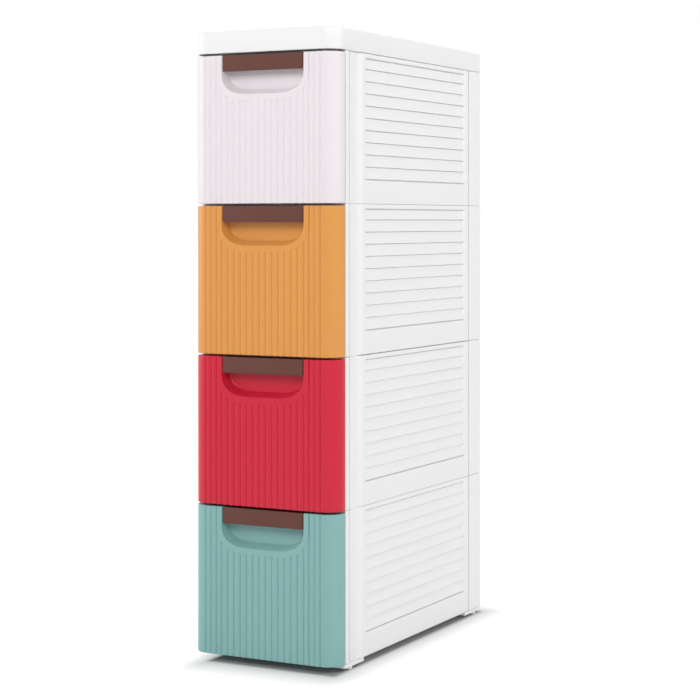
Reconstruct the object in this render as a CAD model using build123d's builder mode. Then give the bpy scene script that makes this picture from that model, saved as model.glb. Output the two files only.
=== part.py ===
"""A slim plastic drawer tower: four louvred tiers stacked on pegs, four pull-out drawers, a cap and a base.

X runs across the tower, Y from the drawer fronts to the back, Z up. The origin is on the floor, in the
middle of the tower's footprint. Tier 1 is the lowest. All sizes are in millimetres.
"""

import os

from build123d import *

# Overall sizes
width = 220.0
depth = 460.0
tier_pitch = 200.0
tier_count = 4
cover_height = 29.3

# Walls and gaps of the carcass
skin = 3.0
rib_wall = 2.5
board = 3.0
side_thickness = 12.0
seam_gap = 0.3
fit_gap = 0.3
joint_gap = 1.0
rear_radius = 3.5

# Front post with its flute, and the louvres behind it
post_depth = 52.0
flute_start = 14.0
flute_width = 32.0
flute_depth = 1.4
louvre_front = 57.0
louvre_rear = 16.4
louvre_top_frame = 6.1
louvre_bottom_frame = 33.2
louvre_depth = 1.6
first_slat = 14.7
slat_count = 10

# Rail inside a side, and the tongue that joins it to the back
rail_rise = 2.0
rail_height = 6.0
tongue_length = 10.0
tongue_thickness = 3.0
back_return = 43.1
back_field_inset = 14.0
back_field_depth = 1.0

# Pegs that lock tier to tier
peg_radius = 3.0
peg_reach = 2.0
peg_gap = 0.1
side_peg_inset = 26.0
back_peg_inset = 40.0

# Shelf boards between the tiers
shelf_rib_depth = 4.0
shelf_rib_count = 3
shelf_rib_inset = 30.0
stop_lip_drop = 8.0

# Cap
cover_edge_radius = 2.5
cover_rib_height = 12.0
cover_rib_count = 3

# Base and feet
foot_height = 4.6
foot_radius = 4.5
foot_edge_radius = 1.5
foot_inset = 5.5
foot_end_inset = 20.0
foot_stem_radius = 2.5
foot_stem = 3.5
block_drop = 4.6
block_width = 32.0
front_block_depth = 52.7
rear_block_depth = 58.0

# Drawer fronts
front_thickness = 26.0
front_wall = 2.6
front_lift = 0.4
front_slot = 3.0
front_corner_radius = 24.0
front_edge_radius = 1.5
groove_width = 1.6
groove_depth = 0.8
centre_ribs = 13
side_ribs = 3
outer_groove_inset = 23.0
border_band = 7.8

# Hand recess and grip bar
recess_half_width = 62.25
recess_drop = 52.0
recess_depth = 16.0
recess_corner_width = 42.0
recess_corner_height = 28.0
recess_side_draft = 3.5
recess_floor_draft = 6.0
grip_height = 21.5
grip_thickness = 2.8
grip_setback = 0.6
clip_width = 10.0
clip_thickness = 2.0
clip_drop = 8.0
clip_spacing = 70.0

# Drawer bins, and the stop that limits their travel
bin_wall = 2.2
bin_top_drop = 10.0
bin_rear_space = 12.0
bin_corner_radius = 12.0
bin_rim = 3.0
bin_rim_height = 2.5
bin_side_gap = 1.0
skid_height = 2.2
skid_width = 6.0
skid_inset = 24.0
travel = 330.0
stop_tab_length = 8.0
stop_tab_width = 5.0
stop_tab_gap = 2.0

# Snap hooks that hold a front on its bin
hook_height = 10.0
hook_catch = 1.6
hook_levels = (40.0, 140.0)

# Places worked out from the sizes above
half = width / 2
skin_half = half - skin
inner_half = half - side_thickness
front_y = -depth / 2
rear_y = depth / 2
front_back_y = front_y + front_thickness
carcass_front = front_back_y + fit_gap
post_rear = carcass_front + post_depth
back_start = rear_y - back_return
side_rear = back_start - joint_gap
board_low = -board / 2
board_high = board / 2
board_half = skin_half - fit_gap
board_front = carcass_front + skin + fit_gap
board_rear = rear_y - skin - fit_gap
base_z = foot_height + block_drop
inner_top = tier_pitch + board_low
front_height = tier_pitch - front_slot
bin_outer_half = inner_half - bin_side_gap - bin_rim
bin_rear = rear_y - skin - bin_rear_space
bin_top = tier_pitch - bin_top_drop
bin_bottom = board_high + fit_gap + skid_height
rail_top = bin_top + rail_rise
rail_low = rail_top - rail_height
stop_lip_rear = carcass_front + fit_gap + skin
recess_back_y = front_y + recess_depth
grip_y = front_y + grip_setback
grip_back_y = grip_y + grip_thickness
grip_half = recess_half_width - recess_side_draft * (grip_back_y - front_y) / recess_depth - fit_gap
peg_x = (inner_half + skin_half) / 2
side_peg_ys = [carcass_front + side_peg_inset, (carcass_front + side_rear) / 2, side_rear - side_peg_inset]
back_peg_y = rear_y - skin - (side_thickness - skin) / 2
back_peg_x = half - back_peg_inset
side_pegs = [(peg_x, y) for y in side_peg_ys]
back_pegs = [(-back_peg_x, back_peg_y), (back_peg_x, back_peg_y)]
all_pegs = side_pegs + [(-x, y) for x, y in side_pegs] + back_pegs


def seam_z(tier):
    """Height of the seam on top of a tier; seam 0 is the carcass's lower edge."""
    return base_z + tier * tier_pitch


def block(x_span, y_span, z_span, mode=Mode.ADD):
    """A box between two values on each axis."""
    spans = (x_span, y_span, z_span)
    with Locations(tuple((low + high) / 2 for low, high in spans)):
        Box(*(high - low for low, high in spans), mode=mode)


def round_bars(points, radius, z_low, z_high, mode=Mode.ADD):
    """Upright round pegs, or holes with Mode.SUBTRACT, from z_low to z_high."""
    with Locations(*((x, y, z_low) for x, y in points)):
        Cylinder(radius, z_high - z_low, align=(Align.CENTER, Align.CENTER, Align.MIN), mode=mode)


def rounded_plan(z, x_half, y_low, y_high, low_radius, high_radius):
    """A flat rectangle at height z, with one radius on its front corners and another on its rear ones."""
    with BuildSketch(Plane.XY.offset(z)) as outline:
        with Locations((0, (y_low + y_high) / 2)):
            Rectangle(2 * x_half, y_high - y_low)
        if low_radius:
            fillet(outline.vertices().group_by(Axis.Y)[0], low_radius)
        if high_radius:
            fillet(outline.vertices().group_by(Axis.Y)[-1], high_radius)
    return outline.sketch


def save(part, name):
    """Labels a finished piece and writes it."""
    part.label = name
    export_step(part, f"parts/{name}.step")


os.makedirs("parts", exist_ok=True)

# Right side of one tier, with Z measured from the seam below it. Its outer skin and the post's front wall
# meet the next tier's. All that lies inside them stops short, which leaves room for the edge of a board.
with BuildPart() as side_panel:
    flute_low = carcass_front + flute_start
    flute_high = flute_low + flute_width
    with BuildSketch(Plane.XY.offset(seam_gap / 2)):
        with BuildLine():
            Line((half, carcass_front), (half, flute_low))
            ThreePointArc(
                (half, flute_low),
                (half - flute_depth, (flute_low + flute_high) / 2),
                (half, flute_high),
            )
            Polyline(
                (half, flute_high),
                (half, side_rear),
                (skin_half, side_rear),
                (skin_half, carcass_front + skin),
                (inner_half, carcass_front + skin),
                (inner_half, carcass_front),
                (half, carcass_front),
            )
        make_face()
    extrude(amount=tier_pitch - seam_gap)

    # Each slat leans in towards its top edge, so that its lower edge throws a line of shade.
    louvre_low_y = carcass_front + louvre_front
    louvre_high_y = side_rear - louvre_rear
    slat_top = tier_pitch - louvre_top_frame
    slat_pitch = (slat_top - louvre_bottom_frame - first_slat) / (slat_count - 1)
    slat_tops = [slat_top] + [slat_top - first_slat - i * slat_pitch for i in range(slat_count - 1)]
    slat_lows = slat_tops[1:] + [louvre_bottom_frame]
    with BuildSketch(Plane.XZ.offset(-louvre_low_y)):
        for high, low in zip(slat_tops, slat_lows):
            with BuildLine():
                Polyline((half, low), (half, high), (half - louvre_depth, high), close=True)
            make_face()
    extrude(amount=louvre_low_y - louvre_high_y, mode=Mode.SUBTRACT)

    # Inside: the post's walls, the flanges, the rail that guides a bin's rim, and the rear rib.
    inner_x = (inner_half, skin_half)
    inner_y = (carcass_front + skin, side_rear)
    inner_z = (board_high, inner_top)
    block((inner_half, inner_half + rib_wall), (carcass_front + skin, post_rear), inner_z)
    block(inner_x, (post_rear - rib_wall, post_rear), inner_z)
    block(inner_x, (side_rear - rib_wall, side_rear), inner_z)
    block(inner_x, inner_y, (board_high, board_high + rib_wall))
    block(inner_x, inner_y, (inner_top - rib_wall, inner_top))
    block(inner_x, inner_y, (rail_low, rail_top))
    block(
        (skin_half - fit_gap - tongue_thickness, skin_half - fit_gap),
        (side_rear - rib_wall, side_rear + tongue_length),
        inner_z,
    )
    round_bars(side_pegs, peg_radius, inner_top, tier_pitch + board_high + peg_reach)
    round_bars(side_pegs, peg_radius + peg_gap, board_high, board_high + rib_wall, Mode.SUBTRACT)

for tier in range(1, tier_count + 1):
    with BuildPart(Plane.XY.offset(seam_z(tier - 1))) as right_panel:
        add(side_panel.part)
    save(right_panel.part, f"side_panel_right_{tier}")
    with BuildPart() as left_panel:
        mirror(right_panel.part, about=Plane.YZ)
    save(left_panel.part, f"side_panel_left_{tier}")

# Back of one tier: a shallow U round both rear corners, with a sunk field in its rear face. A slot in each
# return takes the tongue of a side.
with BuildPart() as back_panel:
    plan = rounded_plan(seam_gap / 2, half, back_start, rear_y, 0, rear_radius)
    extrude(plan, amount=tier_pitch - seam_gap)
    plan = rounded_plan(0, skin_half, back_start, rear_y - skin, 0, rear_radius - skin)
    extrude(plan, amount=tier_pitch, mode=Mode.SUBTRACT)
    field_x = half - back_field_inset
    block(
        (-field_x, field_x),
        (rear_y - back_field_depth, rear_y),
        (back_field_inset, tier_pitch - back_field_inset),
        Mode.SUBTRACT,
    )
    for flange_z in ((board_high, board_high + rib_wall), (inner_top - rib_wall, inner_top)):
        block((-skin_half, skin_half), (rear_y - side_thickness, rear_y - skin), flange_z)
    tongue_inner = skin_half - 2 * fit_gap - tongue_thickness
    slot_end = side_rear + tongue_length + fit_gap
    for side in (-1, 1):
        lip_x = sorted((side * (tongue_inner - rib_wall), side * tongue_inner))
        web_x = sorted((side * (tongue_inner - rib_wall), side * skin_half))
        block(lip_x, (back_start, slot_end + rib_wall), (board_high, inner_top))
        block(web_x, (slot_end, slot_end + rib_wall), (board_high, inner_top))
    round_bars(back_pegs, peg_radius, inner_top, tier_pitch + board_high + peg_reach)
    round_bars(back_pegs, peg_radius + peg_gap, board_high, board_high + rib_wall, Mode.SUBTRACT)

for tier in range(1, tier_count + 1):
    with BuildPart(Plane.XY.offset(seam_z(tier - 1))) as placed_back:
        add(back_panel.part)
    save(placed_back.part, f"back_panel_{tier}")

# Board between two tiers, with Z measured from its seam. The lip under its front edge stops the bin below.
with BuildPart() as shelf:
    plan = rounded_plan(board_low, board_half, board_front, board_rear, 0, rear_radius - skin)
    extrude(plan, amount=board)
    lip_half = inner_half - fit_gap
    block((-lip_half, lip_half), (carcass_front + fit_gap, stop_lip_rear), (-stop_lip_drop, board_high))
    shelf_rib_rear = board_rear - side_thickness - rib_wall
    shelf_rib_pitch = 2 * (inner_half - shelf_rib_inset) / (shelf_rib_count - 1)
    with Locations((0, (stop_lip_rear + shelf_rib_rear) / 2, board_low - shelf_rib_depth / 2)):
        with GridLocations(shelf_rib_pitch, 0, shelf_rib_count, 1):
            Box(rib_wall, shelf_rib_rear - stop_lip_rear, shelf_rib_depth)
    round_bars(all_pegs, peg_radius + peg_gap, board_low, board_high, Mode.SUBTRACT)

for tier in range(1, tier_count):
    with BuildPart(Plane.XY.offset(seam_z(tier))) as placed_shelf:
        add(shelf.part)
    save(placed_shelf.part, f"shelf_{tier}")

# Cap: a hollow moulding that is open underneath, with a flange on the top tier's flange and cross ribs.
cover_z = seam_z(tier_count)
cover_top = cover_z + cover_height
cover_inner_top = cover_top - skin
with BuildPart() as top_cover:
    plan = rounded_plan(cover_z + seam_gap / 2, half, front_y, rear_y, front_corner_radius, rear_radius)
    extrude(plan, amount=cover_height - seam_gap / 2)
    fillet(top_cover.faces().sort_by(Axis.Z)[-1].edges(), cover_edge_radius)
    inner_radii = (front_corner_radius - skin, rear_radius - skin)
    plan = rounded_plan(cover_z, skin_half, front_y + skin, rear_y - skin, *inner_radii)
    extrude(plan, amount=cover_height - skin, mode=Mode.SUBTRACT)
    cover_flange_z = (cover_z + board_low, cover_z + board_high)
    for side in (-1, 1):
        flange_x = sorted((side * inner_half, side * board_half))
        web_x = sorted((side * (inner_half + rib_wall), side * inner_half))
        block(flange_x, (board_front, board_rear - rear_radius), cover_flange_z)
        block(web_x, (board_front, board_rear - rear_radius), (cover_z + board_high, cover_inner_top))
    rear_flange_x = (-board_half + rear_radius, board_half - rear_radius)
    block(rear_flange_x, (rear_y - side_thickness, board_rear), cover_flange_z)
    block(
        rear_flange_x,
        (rear_y - side_thickness, rear_y - side_thickness + rib_wall),
        (cover_z + board_high, cover_inner_top),
    )
    lip_y = (carcass_front + fit_gap, stop_lip_rear)
    wide_half = inner_half + rib_wall
    block((-lip_half, lip_half), lip_y, (cover_z - stop_lip_drop, cover_inner_top))
    block((-wide_half, wide_half), lip_y, (cover_z + seam_gap, cover_inner_top))
    with Locations((0, 0, cover_inner_top - cover_rib_height / 2)):
        with GridLocations(0, depth / (cover_rib_count + 1), 1, cover_rib_count):
            Box(2 * inner_half, rib_wall, cover_rib_height)
    peg_hole_top = cover_z + board_high + peg_reach + fit_gap
    round_bars(all_pegs, peg_radius + peg_gap, cover_z + board_low, peg_hole_top, Mode.SUBTRACT)
save(top_cover.part, "top_cover")

# Base: a board under the lowest tier on four corner blocks, with pegs for the tier's flanges.
foot_points = [
    (side * (half - foot_inset), y)
    for side in (-1, 1)
    for y in (carcass_front + foot_end_inset, rear_y - foot_end_inset)
]
with BuildPart() as base_frame:
    plan = rounded_plan(foot_height, half, carcass_front, rear_y, 0, rear_radius)
    extrude(plan, amount=block_drop)
    block_z = (foot_height, base_z)
    block_free_y = (carcass_front + front_block_depth, rear_y - rear_block_depth)
    block_free_x = (block_width - half, half - block_width)
    block((-half, half), block_free_y, block_z, Mode.SUBTRACT)
    block(block_free_x, (carcass_front, rear_y), block_z, Mode.SUBTRACT)
    plan = rounded_plan(base_z + board_low, board_half, board_front, board_rear, 0, rear_radius - skin)
    extrude(plan, amount=board)
    round_bars(all_pegs, peg_radius, base_z + board_high, base_z + board_high + peg_reach)
    round_bars(
        foot_points,
        foot_stem_radius + peg_gap,
        foot_height,
        foot_height + foot_stem + fit_gap,
        Mode.SUBTRACT,
    )
save(base_frame.part, "base_frame")

# Feet: four round pads, each with a stem pushed up into its block.
with BuildPart() as feet:
    round_bars(foot_points, foot_radius, 0, foot_height)
    fillet(feet.faces().group_by(Axis.Z)[0].edges(), foot_edge_radius)
    round_bars(foot_points, foot_stem_radius, foot_height, foot_height + foot_stem)
save(feet.part, "feet")


def recess_outline(y, half_width, drop, corner_width, corner_height, top):
    """The U of the hand recess on the plane at y, with quarter ellipses for its lower corners."""
    level = front_height - drop
    shoulder = level + corner_height
    flat_half = half_width - corner_width
    with BuildSketch(Plane.XZ.offset(-y)) as outline:
        with BuildLine():
            Line((-half_width, top), (-half_width, shoulder))
            EllipticalCenterArc((-flat_half, shoulder), corner_width, corner_height, 180, arc_size=90)
            Line((-flat_half, level), (flat_half, level))
            EllipticalCenterArc((flat_half, shoulder), corner_width, corner_height, 270, arc_size=90)
            Line((half_width, shoulder), (half_width, top))
            Line((half_width, top), (-half_width, top))
        make_face()
    return outline.sketch


def recess_solid(wall, y_low, y_high, top, mode):
    """The recess's tapered pocket between two depths, made larger all round by a wall."""
    sections = []
    for y in (y_low, y_high):
        share = (y - front_y) / recess_depth
        sections.append(
            recess_outline(
                y,
                recess_half_width + wall - share * recess_side_draft,
                recess_drop + wall - share * recess_floor_draft,
                recess_corner_width + wall - share * recess_side_draft,
                recess_corner_height + wall - share * recess_side_draft,
                top,
            )
        )
    loft(sections=sections, ruled=True, mode=mode)


# One drawer front, with Z measured from its lower edge: a shell that is open at the back, 20 upright
# grooves, and a hand recess inside a plain band. Four hooks behind it snap through the bin's front wall.
centre_pitch = 2 * recess_half_width / centre_ribs
side_pitch = (half - outer_groove_inset - recess_half_width) / side_ribs
groove_xs = [i * centre_pitch - recess_half_width for i in range(centre_ribs + 1)]
for i in range(1, side_ribs + 1):
    groove_xs += [recess_half_width + i * side_pitch, -recess_half_width - i * side_pitch]
hook_x = (recess_half_width + front_wall + bin_outer_half - bin_wall + rib_wall) / 2
with BuildPart() as drawer_front:
    plan = rounded_plan(0, half, front_y, front_back_y, front_corner_radius, 0)
    extrude(plan, amount=front_height)
    end_faces = (drawer_front.faces().sort_by(Axis.Z)[0], drawer_front.faces().sort_by(Axis.Z)[-1])
    rim_edges = [edge for face in end_faces for edge in face.edges().sort_by(Axis.Y)[:-1]]
    fillet(rim_edges, front_edge_radius)
    hollow_y = (front_y + front_wall, front_back_y)
    hollow_radius = front_corner_radius - front_wall
    plan = rounded_plan(front_wall, half - front_wall, *hollow_y, hollow_radius, 0)
    extrude(plan, amount=front_height - 2 * front_wall, mode=Mode.SUBTRACT)

    with BuildSketch(Plane.XZ.offset(-front_y)):
        with Locations(*((x, front_height / 2) for x in groove_xs)):
            Rectangle(groove_width, front_height)
        add(
            recess_outline(
                front_y,
                recess_half_width + border_band,
                recess_drop + border_band,
                recess_corner_width + border_band,
                recess_corner_height + border_band,
                front_height,
            ),
            mode=Mode.SUBTRACT,
        )
    extrude(amount=-groove_depth, mode=Mode.SUBTRACT)

    pocket_back_y = recess_back_y + front_wall
    recess_solid(front_wall, front_y + groove_depth, pocket_back_y, front_height - front_wall, Mode.ADD)
    recess_solid(0, front_y, recess_back_y, front_height + fit_gap, Mode.SUBTRACT)

    # Behind: two upright ribs with the snap hooks, and the seat of the grip bar with slots for its clips.
    for side in (-1, 1):
        rib_x = sorted((side * (hook_x - rib_wall), side * hook_x))
        catch_x = sorted((side * hook_x, side * (hook_x + hook_catch)))
        block(rib_x, (front_y + front_wall, front_back_y), (front_wall, front_height - front_wall))
        for level in hook_levels:
            hook_z = (level, level + hook_height)
            hook_end = front_back_y + bin_wall + fit_gap + hook_catch
            block(rib_x, (front_back_y, hook_end), hook_z)
            block(catch_x, (front_back_y + bin_wall + fit_gap, hook_end), hook_z)
    web_z = (front_height - grip_thickness, front_height)
    clip_y = (pocket_back_y, pocket_back_y + clip_thickness)
    seat_half = grip_half + fit_gap
    block((-seat_half, seat_half), (front_y, pocket_back_y), web_z, Mode.SUBTRACT)
    for side in (-1, 1):
        clip_x = side * clip_spacing / 2
        slot_span = (clip_x - clip_width / 2 - fit_gap, clip_x + clip_width / 2 + fit_gap)
        block(slot_span, (pocket_back_y, clip_y[1] + fit_gap), web_z, Mode.SUBTRACT)

# The grip bar of one drawer: a front plate and a web that closes the recess at the top and clips over its
# back wall. Fingers reach in below the plate and up behind it.
with BuildPart() as grip_bar:
    block((-grip_half, grip_half), (grip_y, grip_back_y), (front_height - grip_height, front_height))
    block((-grip_half, grip_half), (grip_y, pocket_back_y), web_z)
    for side in (-1, 1):
        clip_x = side * clip_spacing / 2
        clip_span = (clip_x - clip_width / 2, clip_x + clip_width / 2)
        block(clip_span, clip_y, (front_height - clip_drop, front_height))

# The bin of one drawer, with Z measured from the seam below it: an open tray on two skids. Two tabs on its
# rim meet the lip of the board above when the drawer is pulled out.
tab_y = stop_lip_rear + travel + fit_gap
with BuildPart() as drawer_bin:
    plan = rounded_plan(bin_bottom, bin_outer_half, front_back_y, bin_rear, 0, bin_corner_radius)
    extrude(plan, amount=bin_top - bin_bottom)
    rim = (bin_outer_half + bin_rim, front_back_y, bin_rear + bin_rim, 0, bin_corner_radius + bin_rim)
    plan = rounded_plan(bin_top - bin_rim_height, *rim)
    extrude(plan, amount=bin_rim_height)
    inside_y = (front_back_y + bin_wall, bin_rear - bin_wall)
    inside_radius = bin_corner_radius - bin_wall
    plan = rounded_plan(bin_bottom + bin_wall, bin_outer_half - bin_wall, *inside_y, 0, inside_radius)
    extrude(plan, amount=bin_top - bin_bottom, mode=Mode.SUBTRACT)
    for side in (-1, 1):
        skid_x = side * (bin_outer_half - skid_inset)
        block(
            (skid_x - skid_width / 2, skid_x + skid_width / 2),
            (front_back_y + bin_wall, bin_rear - bin_corner_radius),
            (bin_bottom - skid_height, bin_bottom),
        )
        tab_out = side * (bin_outer_half + bin_rim - fit_gap)
        tab_x = sorted((tab_out, tab_out - side * stop_tab_width))
        block(tab_x, (tab_y, tab_y + stop_tab_length), (bin_top, tier_pitch + board_low - stop_tab_gap))
        slot_x = sorted((side * (hook_x - rib_wall - fit_gap), side * (hook_x + fit_gap)))
        for level in hook_levels:
            slot_z = (front_lift + level - fit_gap, front_lift + level + hook_height + fit_gap)
            block(slot_x, (front_back_y, front_back_y + bin_wall), slot_z, Mode.SUBTRACT)

for tier in range(1, tier_count + 1):
    front_plane = Plane.XY.offset(seam_z(tier - 1) + front_lift)
    with BuildPart(front_plane) as placed_front:
        add(drawer_front.part)
    save(placed_front.part, f"drawer_front_{tier}")
    with BuildPart(front_plane) as placed_grip:
        add(grip_bar.part)
    save(placed_grip.part, f"grip_bar_{tier}")
    with BuildPart(Plane.XY.offset(seam_z(tier - 1))) as placed_bin:
        add(drawer_bin.part)
    save(placed_bin.part, f"drawer_bin_{tier}")
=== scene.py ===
"""The looks of a slim plastic drawer tower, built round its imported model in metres.

Sizes are written in millimetres, as on a mould drawing, and turned into metres where a mesh is made. The
origin is on the floor in the middle of the footprint, -Y is the drawer side, and tier 1 is the lowest.
"""

import math

import bmesh
import bpy
import numpy as np
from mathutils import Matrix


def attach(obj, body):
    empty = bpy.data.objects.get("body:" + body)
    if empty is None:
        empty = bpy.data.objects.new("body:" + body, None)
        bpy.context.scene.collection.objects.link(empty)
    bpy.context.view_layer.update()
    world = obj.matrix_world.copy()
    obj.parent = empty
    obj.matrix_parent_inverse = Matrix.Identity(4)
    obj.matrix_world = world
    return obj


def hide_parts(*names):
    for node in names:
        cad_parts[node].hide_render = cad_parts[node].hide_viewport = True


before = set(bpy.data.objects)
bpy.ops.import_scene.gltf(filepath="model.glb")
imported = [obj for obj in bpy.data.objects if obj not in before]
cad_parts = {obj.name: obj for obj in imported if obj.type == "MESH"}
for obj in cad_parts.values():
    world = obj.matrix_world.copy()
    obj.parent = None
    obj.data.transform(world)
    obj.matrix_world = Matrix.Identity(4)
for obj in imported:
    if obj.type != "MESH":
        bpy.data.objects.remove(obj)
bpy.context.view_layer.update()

# Studio ---------------------------------------------------------------------------------------------------
# A white sweep: pale floor, an even white surround and large soft lamps. The camera stands low, a little
# right of the fronts, with its back vertical, so uprights stay upright.
scene = bpy.context.scene
scene.view_settings.view_transform = "Standard"


class Wire:
    """An output of a shader node. Sums, differences and products with it add Math nodes."""

    def __init__(self, tree, socket):
        self.tree = tree
        self.socket = socket

    def node(self, kind, settings=None, sockets=None, output=0):
        """Adds a node of a kind: its settings are set first, then its sockets get values or links."""
        made = self.tree.nodes.new(kind)
        for key, value in (settings or {}).items():
            setattr(made, key, value)
        for key, value in (sockets or {}).items():
            if isinstance(value, Wire):
                self.tree.links.new(value.socket, made.inputs[key])
            else:
                made.inputs[key].default_value = value
        return Wire(self.tree, made.outputs[output] if made.outputs else None)

    def math(self, operation, *values):
        """A Math node on values and wires."""
        return self.node("ShaderNodeMath", {"operation": operation}, dict(enumerate(values)))

    def vector(self, operation, *values, output=0):
        """A Vector Math node on values and wires."""
        return self.node("ShaderNodeVectorMath", {"operation": operation}, dict(enumerate(values)), output)

    def ramp(self, start, end, low, high):
        """A smooth step from low, where this wire is at the start, to high, where it is at the end."""
        settings = {"interpolation_type": "SMOOTHSTEP"}
        return self.node("ShaderNodeMapRange", settings, {0: self, 1: start, 2: end, 3: low, 4: high})

    def __add__(self, other):
        return self.math("ADD", self, other)

    def __sub__(self, other):
        return self.math("SUBTRACT", self, other)

    def __rsub__(self, other):
        return self.math("SUBTRACT", other, self)

    def __mul__(self, other):
        return self.math("MULTIPLY", self, other)

    __radd__ = __add__
    __rmul__ = __mul__


def empty_tree(owner):
    """Clears a node tree and returns a wire to start from."""
    owner.use_nodes = True
    owner.node_tree.nodes.clear()
    return Wire(owner.node_tree, None)


def seen_directly(start):
    """1 where a camera, mirror-like or see-through ray looks at the backdrop, 0 where light arrives."""
    path = start.node("ShaderNodeLightPath")
    outputs = path.socket.node.outputs
    rays = [Wire(start.tree, outputs[f"Is {name} Ray"]) for name in ("Camera", "Glossy", "Transmission")]
    return rays[0].math("MINIMUM", rays[0] + rays[1] + rays[2], 1.0)


surround = bpy.data.worlds.new("white_surround")
scene.world = surround
start = empty_tree(surround)
lit = start.node("ShaderNodeBackground", sockets={"Color": (1, 1, 1, 1), "Strength": 0.42})
white = start.node("ShaderNodeBackground", sockets={"Color": (1, 1, 1, 1), "Strength": 1.0})
backdrop = start.node("ShaderNodeMixShader", sockets={0: seen_directly(start), 1: lit, 2: white})
start.node("ShaderNodeOutputWorld", sockets={"Surface": backdrop})

sweep = bpy.data.materials.new("studio_floor")
start = empty_tree(sweep)
matt = start.node("ShaderNodeBsdfDiffuse", sockets={"Color": (0.88, 0.88, 0.88, 1)})
# Seen directly, the floor is a dim diffuse that shows its real shade, plus a white glow mixed in by distance
# from the base. The glow is held low where the base touches it and rises to white further out, which paints
# a contact shadow. The painted shadow reaches another distance on each side.
place = start.node("ShaderNodeTexCoord", output="Object")
nothing = (0, 0, 0)
high_corner = (0.106, 0.228, 0)
low_corner = (-0.08, -0.228, 0)
past_high = place.vector("MAXIMUM", place.vector("SUBTRACT", place, high_corner), nothing)
past_low = place.vector("MAXIMUM", place.vector("SUBTRACT", low_corner, place), nothing)
touching = place.vector("LENGTH", place.vector("ADD", past_high, past_low), output="Value")
past_high = place.vector("MULTIPLY", past_high, (1.8, 1.8, 0))
past_low = place.vector("MULTIPLY", past_low, (3.0, 1.15, 0))
away = place.vector("LENGTH", place.vector("ADD", past_high, past_low), output="Value")
near_end = 0.09
edge = touching.ramp(0, 0.009, 0.02, 0.2)
near = away.math("POWER", away.math("MINIMUM", away * (1 / near_end), 1.0), 0.6) * 0.62
far = away.ramp(near_end, 0.9, 0, 0.18)
glow = start.node("ShaderNodeEmission", sockets={"Color": (1, 1, 1, 1), "Strength": 1.0})
# white glow, weakest next to the base: a painted contact shadow on the floor
painted_shadow_glow = start.node("ShaderNodeMixShader", sockets={0: edge + near + far, 2: glow})
pale = start.node("ShaderNodeBsdfDiffuse", sockets={"Color": (0.3, 0.3, 0.3, 1)})
shown = start.node("ShaderNodeAddShader", sockets={0: pale, 1: painted_shadow_glow})
floor_look = start.node("ShaderNodeMixShader", sockets={0: seen_directly(start), 1: matt, 2: shown})
start.node("ShaderNodeOutputMaterial", sockets={"Surface": floor_look})

floor_mesh = bpy.data.meshes.new("floor")
reach = 30
floor_corners = [(-reach, -reach, 0), (reach, -reach, 0), (reach, reach, 0), (-reach, reach, 0)]
floor_mesh.from_pydata(floor_corners, [], [(0, 1, 2, 3)])
floor_mesh.materials.append(sweep)
floor = bpy.data.objects.new("floor", floor_mesh)
scene.collection.objects.link(floor)


def soft_lamp(name, place, aim, size, watts):
    """A square softbox at a place, turned to look at a point."""
    lamp = bpy.data.lights.new(name, "AREA")
    lamp.shape = "SQUARE"
    lamp.size = size
    lamp.energy = watts
    holder = bpy.data.objects.new(name, lamp)
    scene.collection.objects.link(holder)
    holder.location = place
    towards = np.array(aim, float) - np.array(place, float)
    across = math.hypot(towards[0], towards[1])
    holder.rotation_euler = (math.atan2(across, -towards[2]), 0, math.atan2(-towards[0], towards[1]))


soft_lamp("front", (0.65, -2.75, 2.2), (0, 0, 0.5), 1.4, 45.5)
soft_lamp("right_side", (2.6, 0.4, 1.8), (0, 0, 0.45), 1.0, 27)
soft_lamp("left_side", (-3.0, -0.8, 1.2), (0, 0, 0.45), 1.6, 30)
soft_lamp("rear", (-0.6, 3.0, 1.2), (0, 0, 0.45), 1.6, 30)

camera = bpy.data.objects.new("camera", bpy.data.cameras.new("camera"))
scene.collection.objects.link(camera)
camera.data.sensor_width = 36
camera.data.lens = 97.25
camera.data.shift_y = -0.1842
camera.location = (1.2642, -2.3724, 0.5865)
camera.rotation_euler = (math.radians(90), 0, math.radians(27.877))
scene.camera = camera

# Side panels ----------------------------------------------------------------------------------------------
# Each tier has one white polypropylene panel on each side, moulded with its front post: a rounded bead, a
# shallow flute, and a field of ten overlapping slats. Flanges inside it take the shelves' edges, and a rail
# guides the bin's rim. Panels lock on each other with pegs.
TIERS = (1, 2, 3, 4)
TIER = 200.0
BASE = 9.2
HALF = 110.0
INNER = 98.0
REAR_RADIUS = 3.5
WALL = 2.7
SEAM = 0.15
OPEN_SEAM = 0.5
CAP_SEAM = 0.3


def tier_low(tier):
    """Height of the lower seam of a tier."""
    return BASE + TIER * (tier - 1)


def bar_span(z0):
    """Heights between which upright bars run in a tier: 1.5 mm short of each seam."""
    return z0 + 1.5, z0 + 198.5


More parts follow.
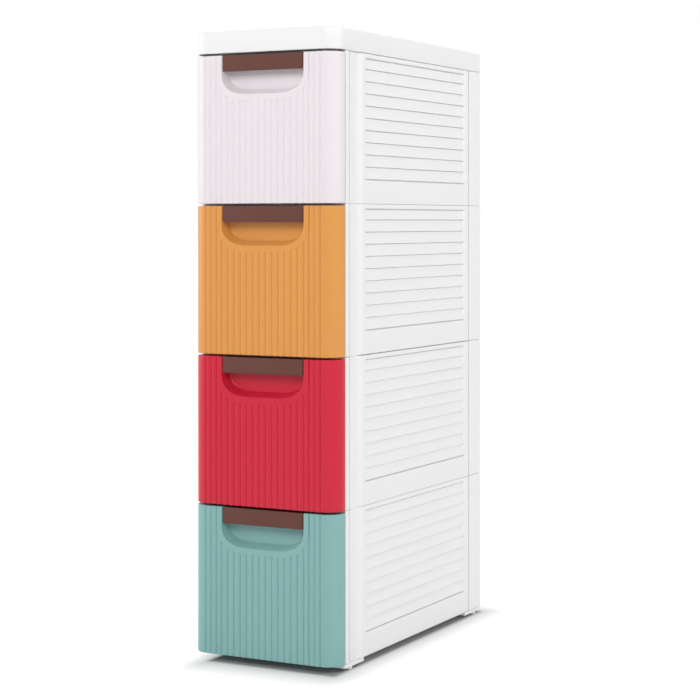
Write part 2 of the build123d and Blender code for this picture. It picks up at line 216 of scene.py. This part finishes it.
def plastic(name, colour, roughness=0.42, grain=0.5, flow=0.02, shine=0.3):
    """Satin moulded plastic: a colour that drifts a little as the melt flowed, a sheen that is never quite
    even, and the fine spark-eroded grain of the mould as a bump."""
    material = bpy.data.materials.new(name)
    start = empty_tree(material)
    place = start.node("ShaderNodeTexCoord", output="Object")
    stretched = place.node("ShaderNodeMapping", sockets={"Vector": place, "Scale": (1.0, 1.0, 0.45)})

    def noise(where, scale, detail, rough=0.5):
        sockets = {"Vector": where, "Scale": scale, "Detail": detail, "Roughness": rough}
        return place.node("ShaderNodeTexNoise", sockets=sockets)

    drift = noise(stretched, scale=7.0, detail=3.0)
    cloud = noise(place, scale=60.0, detail=2.0)
    fine = noise(place, scale=1500.0, detail=2.0, rough=0.6)
    pits = noise(place, scale=420.0, detail=1.0)
    shade = 1.0 + (drift - 0.5) * (2 * flow) + (cloud - 0.5) * flow
    grey = shade.node("ShaderNodeCombineColor", sockets={0: shade, 1: shade, 2: shade})
    # 6, 7 and 2 are the places of the mix node's two colours and of their mix
    tinted = grey.node(
        "ShaderNodeMix",
        {"data_type": "RGBA", "blend_type": "MULTIPLY"},
        {0: 1.0, 6: (*colour, 1), 7: grey},
        output=2,
    )
    sheen = roughness + (cloud - 0.5) * 0.10 + (fine - 0.5) * 0.08
    height = fine * grain + pits * (0.5 * grain) + cloud * 0.35
    bump = height.node("ShaderNodeBump", sockets={"Strength": 0.35, "Distance": 0.00006, "Height": height})
    surface = start.node(
        "ShaderNodeBsdfPrincipled",
        sockets={
            "Base Color": tinted,
            "Roughness": sheen,
            "Normal": bump,
            "IOR": 1.49,
            "Specular IOR Level": shine,
        },
    )
    start.node("ShaderNodeOutputMaterial", sockets={"Surface": surface})
    return material


def linear(red, green, blue):
    """A colour read as screen values 0-255, as the light it stands for."""
    shown = np.array((red, green, blue)) / 255
    return tuple(np.where(shown < 0.04045, shown / 12.92, ((shown + 0.055) / 1.055) ** 2.4).tolist())


def grid_mesh(name, grids):
    """A mesh of grids of points (rows, columns, xyz in mm). Grids that share edge points become one
    surface, rows that shrink to a point close it, and its faces are turned outwards."""
    starts = np.cumsum([0] + [g.shape[0] * g.shape[1] for g in grids])
    quads = []
    for first, grid in zip(starts, grids):
        at = first + np.arange(grid.shape[0] * grid.shape[1]).reshape(grid.shape[:2])
        corners = (at[:-1, :-1], at[:-1, 1:], at[1:, 1:], at[1:, :-1])
        quads.append(np.stack(corners, -1).reshape(-1, 4))
    points = np.concatenate([g.reshape(-1, 3) for g in grids]) / 1000
    mesh = bpy.data.meshes.new(name)
    mesh.from_pydata(points.tolist(), [], np.concatenate(quads).tolist())
    work = bmesh.new()
    work.from_mesh(mesh)
    bmesh.ops.remove_doubles(work, verts=work.verts, dist=2e-6)
    bmesh.ops.recalc_face_normals(work, faces=work.faces)
    work.to_mesh(mesh)
    work.free()
    read = {}
    for what, size in (("center", 3), ("normal", 3), ("area", 1)):
        read[what] = np.empty(len(mesh.polygons) * size)
        mesh.polygons.foreach_get(what, read[what])
    centres = read["center"].reshape(-1, 3)
    facing = ((centres - centres.mean(0)) * read["normal"].reshape(-1, 3)).sum(1) * read["area"]
    if facing.sum() < 0:
        mesh.flip_normals()
    return mesh


def moulding(name, skins, bars, wall, body, finish, nodes, crisp=38.0):
    """A moulded piece: skins thickened inwards by a wall, with closed bars behind them. It rides a body, has
    one material in its slot, and stands for the given nodes."""
    mesh = grid_mesh(name, skins)
    piece = bpy.data.objects.new(name, mesh)
    scene.collection.objects.link(piece)
    if wall:
        thick = piece.modifiers.new("wall", "SOLIDIFY")
        thick.thickness = wall / 1000
        thick.offset = -1
        thick.use_quality_normals = True
        ready = piece.evaluated_get(bpy.context.evaluated_depsgraph_get())
        mesh = bpy.data.meshes.new_from_object(ready)
        mesh.name = name
        piece.modifiers.clear()
        piece.data = mesh
        # at a pinched corner the wall could pass its skin, so it is held to the skin's box
        spots = np.empty(len(mesh.vertices) * 3)
        mesh.vertices.foreach_get("co", spots)
        skin = np.concatenate([g.reshape(-1, 3) for g in skins]) / 1000
        spots = np.clip(spots.reshape(-1, 3), skin.min(0), skin.max(0))
        mesh.vertices.foreach_set("co", spots.ravel())
    work = bmesh.new()
    work.from_mesh(mesh)
    work.from_mesh(grid_mesh(name + "_bars", bars))
    work.to_mesh(mesh)
    work.free()
    mesh.shade_smooth()
    mesh.set_sharp_from_angle(angle=math.radians(crisp))
    mesh.materials.clear()
    mesh.materials.append(finish)
    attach(piece, body)
    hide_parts(*nodes)


def bar(x_span, y_span, z_span, soft=0.4):
    """A closed bar between two values on each axis: its rectangular section with cut corners runs along
    its longest axis, and shrinks to a point in the middle of each end."""
    low, high = np.array([sorted(span) for span in (x_span, y_span, z_span)], float).T
    run = int(np.argmax(high - low))
    one, two = [axis for axis in range(3) if axis != run]
    middle = (low + high) / 2
    reach = (high - low) / 2
    thinnest = 0.05
    # each corner has two points: a side on each axis, and 1 where the first axis is cut, 0 where the second
    turn = [(1, 1, 0), (1, 1, 1), (-1, 1, 1), (-1, 1, 0), (-1, -1, 0), (-1, -1, 1), (1, -1, 1), (1, -1, 0)]
    turn = np.array(turn + turn[:1])
    rows = [(low[run], None), (low[run], soft), (low[run] + soft, 0), (high[run] - soft, 0)]
    rows += [(high[run], soft), (high[run], None)]
    grid = np.zeros((len(rows), len(turn), 3))
    for row, (along, inset) in enumerate(rows):
        grid[row, :, run] = along
        if inset is None:
            grid[row, :, one] = middle[one]
            grid[row, :, two] = middle[two]
            continue
        in_one = reach[one] - inset - np.where(turn[:, 2] == 1, soft, 0)
        in_two = reach[two] - inset - np.where(turn[:, 2] == 0, soft, 0)
        grid[row, :, one] = middle[one] + turn[:, 0] * np.maximum(in_one, thinnest)
        grid[row, :, two] = middle[two] + turn[:, 1] * np.maximum(in_two, thinnest)
    return grid


def along_edge(low, high):
    """Heights of a moulded part between two seams, and how far its rim is rounded back at each."""
    steps = np.array([0.0, 0.2, 0.5, 0.9])
    back = np.array([0.8, 0.35, 0.08, 0.0])
    return low + steps, back, high - steps[::-1], back[::-1]


def raised(x, y, z, in_x, in_y):
    """A grid of a plan's points at each height, drawn in by in_x and in_y."""
    grid = np.empty((len(z), len(x), 3))
    grid[..., 0] = x - in_x
    grid[..., 1] = y - in_y
    grid[..., 2] = z[:, None]
    return grid


def side_skin(sign, z0, low_gap, high_gap):
    """Outer face of a side panel. Across Y it is bead, flute, frame, slats, frame; a slat's inset grows
    evenly from its lower edge to its upper edge and drops back to nothing at the slat above."""
    def sideways(x, y):
        """Points whose normal points to the side."""
        return np.broadcast_to(x, y.shape), y, np.ones(len(y)), np.zeros(len(y))

    front, rear, radius = -201.8, 185.2, 1.4
    turn = np.radians(np.linspace(0, 90, 6))
    bead_y = np.array([-198.4, -196.0, -193.6, -192.6, -192.2, -191.9, -191.5, -190.7, -189.9, -189.6])
    bead_inset = np.array([0, 0, 0, 0.1, 0.4, 1.6, 2.7, 2.8, 2.7, 2.2])
    # the flute is made of two parabolas that meet at its deepest place
    deepest, deepest_at = 2.8, 0.6
    flute_share = np.linspace(0, 1, 18)
    flute_y = -189.4 + 31.5 * flute_share
    before = deepest - 1.9 * ((deepest_at - flute_share) / deepest_at) ** 2
    after = deepest - 2.65 * ((flute_share - deepest_at) / (1 - deepest_at)) ** 2
    field_y = np.concatenate(([-146.7, -146.2, -145.2], np.linspace(-140, 162, 9), [166.4, 168.4, 169.9]))
    parts = [
        (np.array([INNER, 102.0]), np.full(2, front), np.zeros(2), -np.ones(2)),
        (
            HALF - radius + radius * np.sin(turn), front + radius * (1 - np.cos(turn)), np.sin(turn),
            -np.cos(turn),
        ),
        sideways(HALF - bead_inset, bead_y),
        sideways(HALF - np.where(flute_share < deepest_at, before, after), flute_y),
        sideways(HALF, np.array([-157.6, -152.0, -146.7])),
    ]
    first = sum(len(part[0]) for part in parts)
    last = first + len(field_y)
    parts.append(sideways(HALF, field_y))
    parts.append((
        HALF - np.array([0, 0, 0.3, 2.6]), np.array([170.2, 183.8, 184.9, rear]),
        np.array([1.0, 1.0, 0.7, 0.0]), np.array([0, 0, 0.7, 1.0]),
    ))
    x, y, normal_x, normal_y = (np.concatenate([part[i] for part in parts]) for i in range(4))
    share = np.zeros(len(x))
    share[first:last] = 1
    share[first:first + 2] = (0.3, 0.85)
    share[last - 2:last] = (0.65, 0.12)

    low_z, low_back, high_z, high_back = along_edge(low_gap, TIER - high_gap)
    field_low, field_high, top_slat, pitch = 33.2, 193.9, 14.7, 16.22
    tops = [field_high] + [field_high - top_slat - pitch * i for i in range(9)]
    lows = tops[1:] + [field_low]
    z_list = [low_z, [31.2, 31.4, 31.4, field_low]]
    inset_list = [np.zeros(4), [0, 0.3, 3.0, 3.0]]
    for low, high in zip(lows[::-1], tops[::-1]):
        top = high - (1.0 if high == field_high else 0.0)
        z_list.append([low, low + 0.3, (low + top) / 2, top - 0.5, top])
        inset_list.append([0.3, 0.0, 1.2, 2.4, 3.8])
    z_list += [[field_high, field_high, 194.2], high_z]
    inset_list += [[3.8, 0.35, 0.0], np.zeros(4)]
    z = np.concatenate(z_list)
    inset = np.concatenate(inset_list)
    back = np.zeros((len(z), 1))
    back[:4, 0] = low_back
    back[-4:, 0] = high_back
    shift = inset[:, None] * share + back
    grid = raised(x, y, z0 + z, normal_x * shift, normal_y * back)
    grid[..., 0] *= sign
    return grid


carcass_white = plastic("carcass_white", (0.87, 0.87, 0.872), 0.40, 0.5, 0.012)

for tier in TIERS:
    z0 = tier_low(tier)
    # the joint in the middle of the tower and the one under the cap stand a little open
    gaps = (OPEN_SEAM if tier == 3 else SEAM, {2: OPEN_SEAM, 4: CAP_SEAM}.get(tier, SEAM))
    for side, sign in (("left", -1), ("right", 1)):
        inside = (sign * INNER, sign * 107.0)
        panel_bars = [
            bar((sign * INNER, sign * 100.5), (-201.4, -151.7), bar_span(z0)),
            bar(inside, (-154.2, -151.7), bar_span(z0)),
            bar(inside, (182.6, 185.0), bar_span(z0)),
            bar((sign * 103.7, sign * 106.7), (183.4, 195.9), bar_span(z0)),
        ]
        # the edge flanges and the rail are thinner behind the flute
        for low, high in ((1.5, 4.0), (196.0, 198.5), (186.0, 192.0)):
            panel_bars.append(bar((sign * INNER, sign * 104.6), (-200.2, -157.2), (z0 + low, z0 + high)))
            panel_bars.append(bar(inside, (-158.2, 185.0), (z0 + low, z0 + high)))
        moulding(
            f"side_{side}_{tier}", [side_skin(sign, z0, *gaps)], panel_bars, WALL, "cabinet",
            carcass_white, [f"side_panel_{side}_{tier}"],
        )

# Backs ----------------------------------------------------------------------------------------------------
# The rear of each tier is a shallow U that wraps round both rear corners and slides on the sides' tongues.
# Its rear face has a slightly sunk field. Same white plastic as the sides.
REAR = 230.0


def back_skin(z0):
    """Outer face of a back: the plan runs from one side round two 3.5 mm corners to the other, and the rear
    face is set in by 1 mm over its field, with a short slope round it."""
    turn = np.radians(np.linspace(0, 90, 7))
    corner_x = HALF - REAR_RADIUS + REAR_RADIUS * np.cos(turn)
    corner_y = REAR - REAR_RADIUS + REAR_RADIUS * np.sin(turn)
    right_x = np.concatenate(([107.4, 109.7], np.full(3, HALF), corner_x))
    right_y = np.concatenate(([187.5, 187.8, 188.8, 200.0, 216.0], corner_y))
    right_nx = np.concatenate(([0.0, 0.7], np.ones(3), np.cos(turn)))
    right_ny = np.concatenate(([-1.0, -0.7], np.zeros(3), np.sin(turn)))
    flat_x = np.array([97.2, 96.0, 60.0, 20.0, -20.0, -60.0, -96.0, -97.2])
    x = np.concatenate((right_x, flat_x, -right_x[::-1]))
    y = np.concatenate((right_y, np.full(len(flat_x), REAR), right_y[::-1]))
    normal_x = np.concatenate((right_nx, np.zeros(len(flat_x)), -right_nx[::-1]))
    normal_y = np.concatenate((right_ny, np.ones(len(flat_x)), right_ny[::-1]))
    across = np.zeros(len(x))
    across[len(right_x) + 1:len(right_x) + len(flat_x) - 1] = 1
    low_z, low_back, high_z, high_back = along_edge(SEAM, TIER - SEAM)
    z = np.concatenate((low_z, [12.8, 14.0, 60.0, 140.0, 186.0, 187.2], high_z))
    up = np.concatenate((np.zeros(5), np.ones(4), np.zeros(5)))
    back = np.concatenate((low_back, np.zeros(6), high_back))[:, None]
    return raised(x, y, z0 + z, normal_x * back, normal_y * (back + up[:, None] * across))


for tier in TIERS:
    z0 = tier_low(tier)
    back_bars = [
        bar((-106.9, 106.9), (218.0, 227.3), (z0 + 1.5, z0 + 4.0)),
        bar((-106.9, 106.9), (218.0, 227.3), (z0 + 196.0, z0 + 198.5)),
    ]
    for sign in (-1, 1):
        back_bars.append(bar((sign * 100.9, sign * 103.4), (187.6, 198.7), bar_span(z0)))
        back_bars.append(bar((sign * 100.9, sign * 107.2), (196.2, 198.7), bar_span(z0)))
    moulding(
        f"back_{tier}", [back_skin(z0)], back_bars, WALL, "cabinet", carcass_white,
        [f"back_panel_{tier}"],
    )

# Cap ------------------------------------------------------------------------------------------------------
# One smooth hollow moulding closes the tower. Its front corners turn with the same radius as the drawers,
# and its top edge is softly rounded. It is flush with the fronts and sides.


def cap_skin(z_low, z_high):
    """Outer face of the cap: its plan is a rectangle with two corner radii, its section rises, turns over
    a 2.5 mm edge and runs flat to a line along the middle."""
    steps, front, radius, edge = 13, -206, 24, 2.5
    line_front, line_rear = -180, 200

    def corner(centre_x, centre_y, radius, from_degrees):
        turn = np.radians(np.linspace(from_degrees, from_degrees + 90, steps))
        across = np.stack((np.cos(turn), np.sin(turn)), -1)
        return np.array((centre_x, centre_y)) + radius * across, across

    rear_x, rear_y, front_x = HALF - REAR_RADIUS, REAR - REAR_RADIUS, HALF - radius
    runs = [corner(rear_x, rear_y, REAR_RADIUS, 0), corner(-rear_x, rear_y, REAR_RADIUS, 90)]
    runs += [corner(-front_x, front, radius, 180), corner(front_x, front, radius, 270)]
    # more points on the long sides, the same on both, so that the middle line closes
    extra = np.linspace(line_front, line_rear, 9)
    for place, sign, along in ((2, -1, extra[::-1]), (5, 1, extra)):
        side = np.stack((np.full(9, sign * HALF), along), -1)
        runs.insert(place, (side, np.tile((float(sign), 0.0), (9, 1))))
    plan = np.concatenate([run[0] for run in runs] + [runs[0][0][:1]])
    normal = np.concatenate([run[1] for run in runs] + [runs[0][1][:1]])
    turn = np.radians(np.linspace(0, 90, 7))
    z = np.concatenate(([z_low, z_low + 0.4, z_low + 1.2], z_high - edge + edge * np.sin(turn)))
    back = np.concatenate(([1.2, 0.4, 0.0], edge * (1 - np.cos(turn))))[:, None]
    grid = raised(plan[:, 0], plan[:, 1], z, normal[:, 0] * back, normal[:, 1] * back)
    line = np.zeros((1, len(plan), 3))
    line[0, :, 1] = np.clip(plan[:, 1], line_front, line_rear)
    line[0, :, 2] = z_high
    return np.concatenate((grid, line))


cap_z = tier_low(5)
under_top = cap_z + 26.5
cap_bars = [bar((-104.0, 104.0), (y - 1.25, y + 1.25), (cap_z + 14.0, under_top)) for y in (-115, 0, 115)]
cap_bars.append(bar((-97.7, 97.7), (-203.4, -200.4), (cap_z - 8.0, under_top)))
for sign in (-1, 1):
    cap_bars.append(bar((sign * INNER, sign * 106.6), (-200.4, 223.0), (cap_z - 1.5, cap_z + 1.5)))
    cap_bars.append(bar((sign * INNER, sign * 100.5), (-200.4, 223.0), (cap_z + 1.2, under_top)))
moulding(
    "cap", [cap_skin(cap_z + 0.3, cap_z + 29.3)], cap_bars, 3.0, "cabinet", carcass_white,
    ["top_cover"],
)

# Shelves, base and feet -----------------------------------------------------------------------------------
# Flat ribbed boards between the tiers, and a base board on four corner blocks with small round pads pushed
# into them. They keep their moulded shape.
foot_white = plastic("foot_white", (0.80, 0.80, 0.80), 0.5, 0.8, 0.02)
for name in ("shelf_1", "shelf_2", "shelf_3", "base_frame"):
    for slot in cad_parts[name].material_slots:
        slot.material = carcass_white
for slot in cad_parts["feet"].material_slots:
    slot.material = foot_white

# Drawer bins ----------------------------------------------------------------------------------------------
# Deep open trays in a slightly warmer white, with a rolled rim, two skids under them and two small stop
# tabs on the rim.
bin_white = plastic("bin_white", (0.84, 0.84, 0.845), 0.46, 0.7, 0.02)
for tier in TIERS:
    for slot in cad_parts[f"drawer_bin_{tier}"].material_slots:
        slot.material = bin_white

# Drawer fronts --------------------------------------------------------------------------------------------
# Each front is a hollow coloured moulding, ribbed with twenty narrow upright grooves between slightly
# crowned ribs. A smooth band borders the U-shaped hand recess, which tapers inwards to a dished floor. It
# snaps on the bin with four hooks.
FRONT = -230.0
FRONT_BACK = -203.6
SEAT_BACK = -211.4
TALL = 197.0
CORNER = 24.0
EDGE = 1.0
BAND_HALF = 69.6
BAND_FLAT = 20.25
BAND_DROP = 59.8
BAND_TALL = 35.8
SHOULDER = 173.0
SEAT_LOW = 194.2
FRONT_LIFT = 0.4
CREST = 0.65
side_grooves = np.array([70.4, 78.7, 87.0])
grooves = np.concatenate((-side_grooves[::-1], np.linspace(-62.5, 62.5, 14), side_grooves))


def plan_point(s, inset):
    """Points along the front's plan at a distance s from its middle, set in along the plan's normal: a
    straight, a quarter turn of 24 mm and a short straight to the back edge, where it turns in by 0.3 mm."""
    run = np.abs(s)
    straight = HALF - CORNER
    turn = np.clip((run - straight) / CORNER, 0, np.pi / 2)
    rest = np.maximum(run - straight - CORNER * np.pi / 2, 0)
    rounded = 0.3 * np.clip(rest - 1.4, 0, 1) ** 2
    x = np.minimum(run, straight) + (CORNER - inset) * np.sin(turn) - rounded
    y = FRONT + inset * np.cos(turn) + CORNER * (1 - np.cos(turn)) + rest
    return np.sign(s) * x, y


def rib_inset(s):
    """How far the ribbed face lies behind its crests: each rib is a shallow arch of 0.65 mm, and
    each groove a soft notch 1.1 mm deeper."""
    nearest = np.abs(s[:, None] - grooves[None, :]).min(1)
    at = np.clip(np.searchsorted(grooves, s), 1, len(grooves) - 1)
    reach = (grooves[at] - grooves[at - 1]) / 2
    middle = (grooves[at] + grooves[at - 1]) / 2
    arch = CREST * np.clip(np.abs(s - middle) / reach, 0, 1) ** 2
    past = np.clip(1 - (np.abs(s) - grooves[-1]) / 4.8, 0, 1)
    arch = np.where(np.abs(s) > grooves[-1], CREST * past ** 2, arch)
    depth, width = 1.1, 0.95
    return arch + depth * np.exp(-((nearest / width) ** 2))


def ease(value):
    """0 to 1 with soft ends."""
    value = np.clip(value, 0, 1)
    return value * value * (3 - 2 * value)


def u_shape(x_band, half, drop, wide, tall):
    """The U at one depth, for the band's columns: flat in the middle, then a corner whose curve is a
    superellipse of power 2.4, as wide and tall as given."""
    flat = half - wide
    power = 2.4
    along = np.clip((np.abs(x_band) - BAND_FLAT) / (BAND_HALF - BAND_FLAT), 0, 1)
    curved = np.sign(x_band) * (flat + wide * along)
    x = np.where(np.abs(x_band) < BAND_FLAT, x_band * flat / BAND_FLAT, curved)
    z = TALL - drop + tall * (1 - (1 - along ** power) ** (1 / power))
    return x, z


# the front's columns lie close together in the grooves, at the corners and at the band's steep ends
offsets = np.array([0, 0.25, 0.5, 0.8, 1.25, 2.0, 3.1])
columns = [grooves[:, None] + offsets, grooves[:, None] - offsets]
columns = np.concatenate([c.ravel() for c in columns] + [(grooves[1:] + grooves[:-1]) / 2])
corner_run = HALF - CORNER + CORNER * np.pi / 2
round_corner = np.linspace(91, corner_run, 12)
back_edge = corner_run + np.array([1.4, 1.8, 2.1, 2.4])
steep = np.array([0.998, 0.992, 0.982, 0.965, 0.94, 0.91, 0.87, 0.82])
steep = BAND_FLAT + (BAND_HALF - BAND_FLAT) * steep
columns = np.concatenate((columns, round_corner, -round_corner, steep, -steep))
least_step = 0.12
columns = np.sort(columns[np.abs(np.abs(columns) - BAND_HALF) > least_step / 2])
columns = columns[np.concatenate(([True], np.diff(columns) > least_step))]
columns = np.sort(np.concatenate((columns, (-BAND_HALF, BAND_HALF), back_edge, -back_edge)))
hair = 1e-6
inner = columns[np.abs(columns) <= BAND_HALF + hair]
arc = np.radians(np.linspace(0, 90, 6))
climb = np.linspace(0, 1, 6)
top_edge = TALL - EDGE * (1 - np.sin(arc))


def band_level(s):
    """Height at which the ribbed face meets the band, or the U's shoulder outside it."""
    level = u_shape(s, BAND_HALF, BAND_DROP, BAND_HALF - BAND_FLAT, BAND_TALL)[1]
    return np.where(np.abs(s) < BAND_HALF, level, SHOULDER)


def ribbed(s, z):
    """The rib inset at a height: it fades out just below the band and beside it."""
    beside = ease((np.abs(s) - BAND_HALF) / 0.8)
    below = ease((band_level(s) - z) / 2.6)
    return rib_inset(s) * (1 - (1 - beside) * (1 - below))


def front_skin(z0):
    """The whole outer face of a drawer front, as grids that share their edges."""
    back = np.full(len(columns), FRONT_BACK)
    rows = []
    # underside and its rounded edge, then up the ribs to the band
    for angle in arc[::-1]:
        x, y = plan_point(columns, ribbed(columns, 0 * columns) + EDGE * (1 - np.cos(angle)))
        z = np.full(len(columns), EDGE * (1 - np.sin(angle)))
        if angle == arc[-1]:
            rows.append((x, back, z))
        rows.append((x, np.minimum(y, FRONT_BACK), z))
    top = band_level(columns)
    for part in (0.25, 0.5, 0.75, 0.9):
        z = EDGE + part * (top - 10 - EDGE)
        rows.append((*plan_point(columns, ribbed(columns, z)), z))
    for drop in (10, 6.5, 4.2, 3.0, 2.1, 1.4, 0.8, 0.35, 0):
        z = top - drop
        rows.append((*plan_point(columns, ribbed(columns, z)), z))
    grids = [np.stack([np.stack(r, -1) for r in rows])]
    # the two ribbed margins beside the U, over the top edge and back
    for keep in (columns <= -BAND_HALF + hair, columns >= BAND_HALF - hair):
        s = columns[keep]
        rows = []
        for part in climb:
            z = np.full(len(s), SHOULDER + part * (SEAT_LOW - SHOULDER))
            rows.append((*plan_point(s, ribbed(s, z)), z))
        for angle in arc:
            z = np.full(len(s), TALL - EDGE * (1 - np.sin(angle)))
            x, y = plan_point(s, ribbed(s, z) + EDGE * (1 - np.cos(angle)))
            rows.append((x, np.minimum(y, FRONT_BACK), z))
        rows.append((x, np.minimum(np.maximum(y, SEAT_BACK), FRONT_BACK), z))
        rows.append((x, np.full(len(s), FRONT_BACK), z))
        grids.append(np.stack([np.stack(r, -1) for r in rows]))
    # band, rounded lip, tapered wall and the dished foot of the wall
    mouth_half, mouth_drop, mouth_wide, mouth_tall, depth = 62.25, 52, 42, 28, 16
    band_side, band_low, lip, foot, draft, floor_draft = 7.35, 7.8, 1.1, 2.8, 3.5, 6
    sections = [(BAND_HALF, BAND_DROP, BAND_HALF - BAND_FLAT, BAND_TALL, FRONT)]
    for low in (5.2, 3.2):
        beside = band_side * (low / band_low)
        sections.append((mouth_half + beside, mouth_drop + low, mouth_wide + beside, mouth_tall + low, FRONT))
    for angle in arc:
        out = lip * (1 - np.sin(angle))
        y = FRONT + lip * (1 - np.cos(angle))
        sections.append((mouth_half + out, mouth_drop + out, mouth_wide + out, mouth_tall + out, y))
    for deep, angle in [(5, 0), (8.5, 0)] + [(depth - foot, a) for a in arc]:
        share = deep / depth
        inward = foot * (1 - np.cos(angle))
        sections.append((
            mouth_half - draft * share - inward, mouth_drop - floor_draft * share - inward,
            mouth_wide - draft * share - inward, mouth_tall - draft * share - inward,
            FRONT + deep + foot * np.sin(angle),
        ))
    rows = []
    for half, drop, wide, tall, y in sections:
        x, z = u_shape(inner, half, drop, wide, tall)
        shoulder = TALL - drop + tall
        rise = np.concatenate((shoulder + climb[1:] * (SEAT_LOW - shoulder), top_edge))
        rise_y = np.concatenate((np.full(len(climb) - 1, y), np.maximum(y, FRONT + EDGE * (1 - np.cos(arc)))))
        end_z = np.concatenate((rise, (TALL, TALL)))
        end_y = np.concatenate((rise_y, (SEAT_BACK, FRONT_BACK)))
        ends = len(end_z)
        row_x = np.concatenate((np.full(ends, -half), x, np.full(ends, half)))
        row_y = np.concatenate((end_y[::-1], np.full(len(x), y), end_y))
        row_z = np.concatenate((end_z[::-1], z, end_z))
        rows.append(np.stack((row_x, row_y, row_z), -1))
    grids.append(np.stack(rows))
    # flat back of the recess, the seat of the grip bar's web and the plate behind it
    deep_y = sections[-1][4]
    rows = [np.stack((x, np.full(len(x), deep_y), z + part * (SEAT_LOW - z)), -1) for part in climb]
    grids.append(np.stack(rows))
    seat = [(deep_y, SEAT_LOW), (SEAT_BACK, SEAT_LOW)]
    seat += [(SEAT_BACK, level) for level in top_edge] + [(FRONT_BACK, TALL)]
    grids.append(np.stack([np.stack((x, np.full(len(x), y), np.full(len(x), z)), -1) for y, z in seat]))
    for end in (x[0], x[-1]):
        rows = [[(end, deep_y, level), (end, SEAT_BACK, level)] for level in (SEAT_LOW, *top_edge)]
        grids.append(np.array(rows))
    for grid in grids:
        grid[..., 2] += z0
    return grids


front_finishes = {
    4: ("front_blush", plastic("front_blush", linear(232, 225, 229), 0.38, 0.5, 0.012)),
    3: ("front_orange", plastic("front_orange", linear(221, 153, 79), 0.36, 0.5, 0.025)),
    2: ("front_red", plastic("front_red", linear(205, 35, 59), 0.34, 0.5, 0.03)),
    1: ("front_teal", plastic("front_teal", linear(134, 179, 177), 0.36, 0.5, 0.025)),
}

for tier in TIERS:
    z0 = tier_low(tier) + FRONT_LIFT
    slot_name, finish = front_finishes[tier]
    front_bars = []
    for sign in (-1, 1):
        rib = (sign * 77.1, sign * 79.6)
        catch = (sign * 79.4, sign * 81.2)
        front_bars.append(bar(rib, (-228.4, -204.0), (z0 + 1.6, z0 + 195.4)))
        for level in (40, 140):
            hook = (z0 + level, z0 + level + 10)
            front_bars.append(bar(rib, (-204.5, -199.9), hook))
            front_bars.append(bar(catch, (-201.5, -199.9), hook))
    moulding(
        f"front_{tier}", front_skin(z0), front_bars, 1.6, f"drawer_{tier}", finish,
        [f"drawer_front_{tier}"],
    )

# Grip bars ------------------------------------------------------------------------------------------------
# A matt brown bar closes the top of each recess: a flat plate that the fingers curl behind, with a web over
# it that clips onto the recess's rear wall.
grip_brown = plastic("grip_brown", linear(105, 69, 61), 0.6, 1.1, 0.04, 0.12)


def bar_section(z0):
    """The bar's L section, plate and web, as a closed line of points with 0.6 mm corners."""
    radius = 0.6
    corners = np.array([
        (-229.4, 175.5), (-226.6, 175.5), (-226.6, 193.9), (-211.8, 193.9), (-211.8, 196.7), (-229.4, 196.7),
    ])
    before = np.roll(corners, 1, 0) - corners
    after = np.roll(corners, -1, 0) - corners
    before = before / np.linalg.norm(before, axis=1)[:, None]
    after = after / np.linalg.norm(after, axis=1)[:, None]
    share = np.linspace(0, 1, 4)[None, :, None]
    bend = (1 - share) ** 2 * before[:, None] + share ** 2 * after[:, None]
    line = (corners[:, None] + radius * bend).reshape(-1, 2)
    line = np.concatenate((line, line[:1]))
    return line + np.array((0.0, z0))


def grip_skin(z0):
    """The section carried across the front, drawn in a little at each end, and closed there on the line
    between plate and web."""
    line = bar_section(z0)
    plate_y, plate_back, web_end = -228.0, -226.6, -212.5
    plate_end, web_under, web_z = z0 + 176.5, z0 + 193.9, z0 + 195.3
    spine = np.stack((np.clip(line[:, 0], plate_y, web_end), np.clip(line[:, 1], plate_end, web_z)), -1)
    spine[:, 0] = np.where(spine[:, 1] < web_under, plate_y, spine[:, 0])
    spine[:, 1] = np.where(spine[:, 0] > plate_back, web_z, spine[:, 1])
    rows = [(-60.9, 1.0), (-60.9, 0.35), (-60.7, 0.1), (-60.3, 0.0)]
    rows += [(0.0, 0.0)] + [(-x, mix) for x, mix in rows[::-1]]
    grid = np.empty((len(rows), len(line), 3))
    for row, (x, mix) in enumerate(rows):
        grid[row, :, 0] = x
        grid[row, :, 1:] = line + mix * (spine - line)
    return [grid]


for tier in TIERS:
    z0 = tier_low(tier) + FRONT_LIFT
    clips = [bar((x - 5, x + 5), (-211.9, -209.4), (z0 + 189.0, z0 + 196.6)) for x in (-35, 35)]
    moulding(
        f"grip_{tier}", grip_skin(z0), clips, 0.0, f"drawer_{tier}", grip_brown,
        [f"grip_bar_{tier}"],
    )
